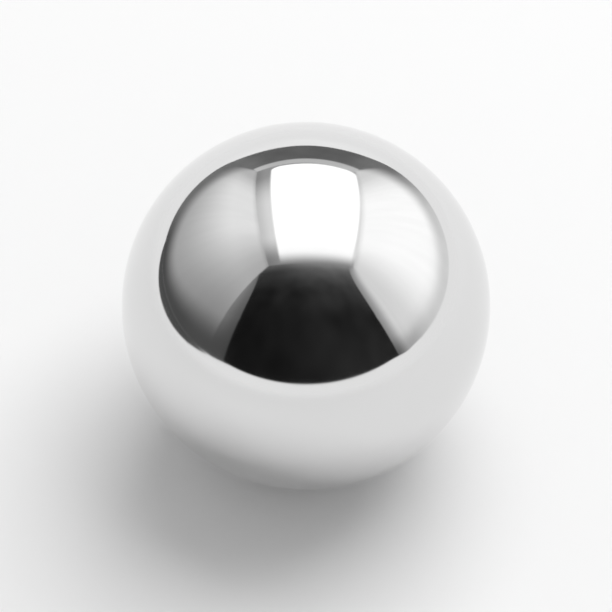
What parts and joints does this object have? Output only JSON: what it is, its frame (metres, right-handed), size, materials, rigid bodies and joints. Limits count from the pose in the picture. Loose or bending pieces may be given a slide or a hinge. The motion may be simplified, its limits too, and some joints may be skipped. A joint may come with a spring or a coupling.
{
  "type": "steel ball",
  "caption": "Solid mirror-polished steel ball that rolls between races or rests in a socket, cup or dimple.",
  "frame": {"origin": "centre of the ball", "axes": "the ball is alike all round, so +Z is simply up, through the centre"},
  "size_m": [0.008, 0.008, 0.008],
  "materials": {
    "polished_steel": "bare hardened steel, lapped and polished to a mirror"
  },
  "bodies": {
    "root": {"ball": "polished_steel"}
  },
  "joints": []
}
